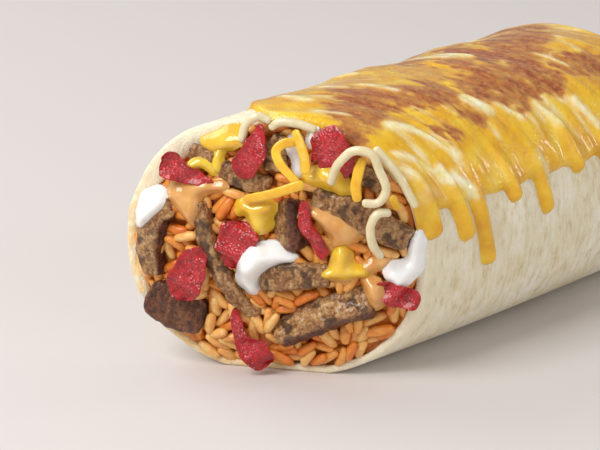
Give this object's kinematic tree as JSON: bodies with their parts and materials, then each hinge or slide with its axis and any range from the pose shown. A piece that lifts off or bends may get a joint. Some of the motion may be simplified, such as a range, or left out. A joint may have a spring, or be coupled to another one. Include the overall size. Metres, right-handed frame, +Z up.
{
  "type": "burrito half",
  "caption": "Half of a grilled burrito cut on the slant, with melted cheese on the wrap and rice, steak, sauces and cheese shreds showing in the cut.",
  "frame": {"origin": "on the surface it lies on, below the middle of the whole half's outline", "axes": "+Z up, +Y along the wrap from the slanted cut to the folded end, +X to the right seen from the cut"},
  "size_m": [0.0794, 0.1614, 0.0734],
  "materials": {
    "tortilla": "soft, dry, faintly mottled flour tortilla",
    "cheese_crust": "melted cheese, glossy, browned in patches on top",
    "rice": "cooked seasoned rice, moist",
    "steak": "grilled steak, fibrous, slightly moist",
    "red_strip": "thin crisp crimson strips with a crumbly, glinting surface",
    "sour_cream": "smooth, thick and white",
    "cheese_sauce": "smooth and glossy, deep yellow",
    "orange_sauce": "smooth, orange tan and glossy",
    "yellow_shred": "softened yellow cheese shreds",
    "white_shred": "pale cheese shreds"
  },
  "bodies": {
    "root": {"tortilla": "tortilla", "cheese_crust": "cheese_crust", "rice_filling": "rice", "steak_01": "steak", "steak_02": "steak", "steak_03": "steak", "steak_04": "steak", "steak_05": "steak", "steak_06": "steak", "steak_07": "steak", "steak_08": "steak", "steak_09": "steak", "steak_10": "steak", "steak_11": "steak", "red_strip_01": "red_strip", "red_strip_02": "red_strip", "red_strip_03": "red_strip", "red_strip_04": "red_strip", "red_strip_05": "red_strip", "red_strip_06": "red_strip", "red_strip_07": "red_strip", "red_strip_08": "red_strip", "sour_cream_01": "sour_cream", "sour_cream_02": "sour_cream", "sour_cream_03": "sour_cream", "sour_cream_04": "sour_cream", "sour_cream_05": "sour_cream", "cheese_sauce_01": "cheese_sauce", "cheese_sauce_02": "cheese_sauce", "cheese_sauce_03": "cheese_sauce", "cheese_sauce_04": "cheese_sauce", "cheese_sauce_05": "cheese_sauce", "cheese_sauce_06": "cheese_sauce", "orange_sauce_01": "orange_sauce", "orange_sauce_02": "orange_sauce", "orange_sauce_03": "orange_sauce", "orange_sauce_04": "orange_sauce", "yellow_shred_01": "yellow_shred", "yellow_shred_02": "yellow_shred", "yellow_shred_03": "yellow_shred", "yellow_shred_04": "yellow_shred", "yellow_shred_05": "yellow_shred", "white_shred_01": "white_shred", "white_shred_02": "white_shred", "white_shred_03": "white_shred", "white_shred_04": "white_shred", "white_shred_05": "white_shred"}
  },
  "joints": []
}
